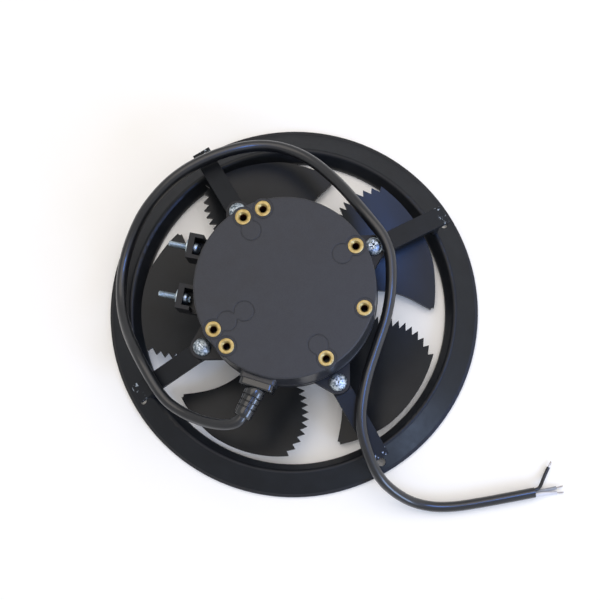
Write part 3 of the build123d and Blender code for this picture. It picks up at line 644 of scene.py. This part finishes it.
INSERT = [(2.1, -0.75), (2.75, 0.1), (2.95, 0.2), (4.45, 0.2), (4.72, 0.12), (4.775, -0.1),
          (4.775, -0.6), (3.75, -0.6), (3.75, -9.8), (2.1, -9.8)]
for node, angles in INSERT_ANGLES.items():
    parts = []
    for angle in angles:
        bm = bmesh.new()
        lathe(bm, INSERT, steps=72)
        bore_r, mouth = INSERT[0]
        thread(bm, bore_r, M5_PITCH, INSERT[-1][1], mouth, M5_DEPTH, inside=True)
        # The turn is only there so that no two threads start alike
        thread_start = Matrix.Rotation(angle, 4, "Z")
        parts.append((bm, Matrix.Translation(polar(INSERT_R, angle, COVER_TOP)) @ thread_start))
    inserts = piece(node + "_detailed", merged(node + "_detailed", parts), brass)
    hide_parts(node)

# Strain relief: tapered rubber sleeve with three grooves, pulled over to the side by the cable;
# it turns from the gland's axis to its own in its first millimetres
RELIEF_BEND = 5
relief_start = polar(GLAND_R, GLAND_ANGLE, GLAND_Z)
gland_axis = polar(1, GLAND_ANGLE).normalized()
relief_axis = polar(1, RELIEF_ANGLE).normalized()
relief_profile = [(3.5, 0.02), (5.9, 0.02), (6.25, 0.5), (6.3, 2.0), (6.25, 4.9)]
for groove, radius in ((5.2, 6.15), (8.9, 6.0), (12.6, 5.85)):
    relief_profile += [
        (radius, groove), (radius - 0.25, groove + 0.12), (5.0, groove + 0.22),
        (4.9, groove + 0.45), (5.0, groove + 0.68), (radius - 0.3, groove + 0.8),
        (radius - 0.05, groove + 0.95)]
relief_profile += [(5.75, 16.9), (5.6, 18.6), (5.25, 19.3), (4.7, 19.48), (3.5, 19.48)]
bm = bmesh.new()
lathe(bm, relief_profile, steps=96)
for vert in bm.verts:
    height = vert.co.z
    lean = min(height / (RELIEF_BEND * MM), 1.0)
    ring_axis = gland_axis.lerp(relief_axis, lean).normalized()
    ring_place = placed(ring_axis, relief_start + relief_axis * height)
    vert.co = ring_place @ Vector((vert.co.x, vert.co.y, 0))
relief_mesh = finish_mesh("strain_relief_sleeve", bm, sharp_angle=50)
relief = piece("strain_relief_sleeve", relief_mesh, rubber)
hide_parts("strain_relief")


# Cable and leads
def cord_curve(name, points, diameter, material, resolution):
    data = bpy.data.curves.new(name, "CURVE")
    data.dimensions = "3D"
    data.bevel_depth = diameter / 2
    data.bevel_resolution = 8
    data.resolution_u = resolution
    data.use_fill_caps = True
    spline = data.splines.new("NURBS")
    spline.points.add(len(points) - 1)
    for point, place in zip(spline.points, points):
        point.co = (*place, 1.0)
    spline.order_u = 3
    spline.use_endpoint_u = True
    data.materials.append(material)
    made = bpy.data.objects.new(name, data)
    scene.collection.objects.link(made)
    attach(made, "stator")
    return made


cable = cord_curve("cable_jacket_run", cable_route, CABLE_D, jacket, resolution=16)
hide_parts("power_cable")

# The leads, in millimetres
LEAD_D = 2.3
LEAD_CIRCLE_R = 1.9
LEAD_INSIDE = 0.5
LEAD_STRAIGHT = 2.6

# Each lead's place round the jacket's axis, in degrees, and the end of its route, in metres
lead_routes = {
    "black": (60, (0.1656, -0.1184, 0.0034), (0.1682, -0.1126, 0.0013), (0.1714, -0.1060, 0.0013)),
    "grey": (180, (0.1676, -0.1216, 0.0013), (0.1718, -0.1208, 0.0013), (0.1764, -0.1198, 0.0013)),
    "white": (300, (0.1678, -0.1236, 0.0032), (0.1722, -0.1234, 0.0013), (0.1768, -0.1232, 0.0013)),
}

# Bare strands: a twisted ring of them round one in the middle, in millimetres and radians
RING_STRANDS = 8
STRAND_CIRCLE_R = 0.36
STRAND_R = 0.15
STRAND_LENGTH = 4.6
STRAND_INSIDE = 0.2
STRAND_TWIST = 2.2
STRAND_FLARE = 0.25
STRAND_SIDES = 8
STRAND_STEPS = 8


def add_strand(bm, matrix, start_angle, circle_r, length):
    """Adds one bare strand that winds round the axis of a lead's end."""
    rings = []
    for step in range(STRAND_STEPS + 1):
        t = step / STRAND_STEPS
        a = start_angle + STRAND_TWIST * t
        out = circle_r * (1 + STRAND_FLARE * t) * MM
        up = length * t * MM - STRAND_INSIDE * MM
        centre = matrix @ Vector((out * math.cos(a), out * math.sin(a), up))
        ring = []
        for i in range(STRAND_SIDES):
            b = step_angle(i, STRAND_SIDES)
            offset = matrix.to_3x3() @ Vector((math.cos(b), math.sin(b), 0)) * STRAND_R * MM
            ring.append(bm.verts.new(centre + offset))
        rings.append(ring)
    for low, high in zip(rings, rings[1:]):
        join_rings(bm, low, high)
    bm.faces.new(list(reversed(rings[0])))
    bm.faces.new(rings[-1])


jacket_end = Vector(cable_route[-1])
jacket_way = (jacket_end - Vector(cable_route[-2])).normalized()
jacket_side = Vector((-jacket_way.y, jacket_way.x, 0))
strands = bmesh.new()
rng = random.Random(4)
for name, (clock, *points) in lead_routes.items():
    turn = math.radians(clock)
    start = (jacket_end + jacket_side * LEAD_CIRCLE_R * MM * math.sin(turn)
             + Vector((0, 0, LEAD_CIRCLE_R * MM * math.cos(turn))))
    inner = start - jacket_way * LEAD_INSIDE * MM
    outer = start + jacket_way * LEAD_STRAIGHT * MM
    lead = cord_curve("lead_run_" + name, [tuple(inner), tuple(outer)] + points,
                      LEAD_D * MM, insulation[name], resolution=12)
    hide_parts("lead_" + name)
    root, before = Vector(points[-1]), Vector(points[-2])
    matrix = placed((root - before).normalized(), root)
    for k in range(RING_STRANDS + 1):
        circle_r = STRAND_CIRCLE_R if k < RING_STRANDS else 0.0
        length = STRAND_LENGTH + rng.uniform(-0.4, 0.3)
        add_strand(strands, matrix, step_angle(k, RING_STRANDS), circle_r, length)
strand_mesh = finish_mesh("bare_strands", strands, sharp_angle=60)
wires = piece("bare_strands", strand_mesh, tinned)
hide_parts("wire_ends")

# Floor and light, in metres and watts
FLOOR_HALF = 3.0
FLOOR_DROP = 0.0002

bm = bmesh.new()
bmesh.ops.create_grid(bm, x_segments=1, y_segments=1, size=FLOOR_HALF)
floor_mesh = bpy.data.meshes.new("floor")
bm.to_mesh(floor_mesh)
bm.free()
floor = bpy.data.objects.new("floor", floor_mesh)
scene.collection.objects.link(floor)
floor.location.z = -FLOOR_DROP
paper = Shader("pale_table")
paper.tint(paper.noise(60, 3, 0.5), "Fac", "#fcfbf9", "#fefdfc")
paper.set(Roughness=0.8)
floor.data.materials.append(paper.material)


def area_light(name, place, target, size, power, colour):
    data = bpy.data.lights.new(name, "AREA")
    data.shape = "RECTANGLE"
    data.size, data.size_y = size
    data.energy = power
    data.color = linear(colour)[:3]
    lamp = bpy.data.objects.new(name, data)
    scene.collection.objects.link(lamp)
    lamp.location = place
    lamp.rotation_euler = (Vector(target) - Vector(place)).to_track_quat("-Z", "Y").to_euler()
    return lamp


area_light("ceiling", place=(-0.1, 0.45, 1.5), target=(0, 0, 0), size=(1.6, 1.2),
           power=9, colour="#fff4e6")
area_light("window", place=(1.1, -0.9, 0.6), target=(0, 0, 0.02), size=(0.6, 0.5),
           power=11, colour="#b4d0ff")
sky = area_light("sky", place=(0.42, -0.03, 1.0), target=(0.06, 0.06, 0.02), size=(0.3, 0.3),
                 power=4.4, colour="#5e97ff")
# The sky shows only where something reflects it, as a blue sheen
sky.visible_diffuse = False

# The room: pale all round and brighter towards the window side, at the right
WINDOW_SIDE = Vector((1.0, 0.1, 0.0)).normalized()
GLOW_START, GLOW_FULL = 0.15, 0.95
ROOM_STRENGTH, GLOW_STRENGTH = 0.7, 1.3

world = bpy.data.worlds.new("world")
world.use_nodes = True
room = world.node_tree
background = room.nodes["Background"]
background.inputs["Color"].default_value = linear("#f4f4f6")
direction = room.nodes.new("ShaderNodeTexCoord")
towards = room.nodes.new("ShaderNodeVectorMath")
towards.operation = "DOT_PRODUCT"
towards.inputs[1].default_value = WINDOW_SIDE
glow = room.nodes.new("ShaderNodeMapRange")
glow.interpolation_type = "SMOOTHSTEP"
for key, value in (("From Min", GLOW_START), ("From Max", GLOW_FULL),
                   ("To Min", ROOM_STRENGTH), ("To Max", GLOW_STRENGTH)):
    glow.inputs[key].default_value = value
room.links.new(direction.outputs["Generated"], towards.inputs[0])
room.links.new(towards.outputs["Value"], glow.inputs["Value"])
room.links.new(glow.outputs["Result"], background.inputs["Strength"])
scene.world = world
scene.view_settings.view_transform = "Standard"
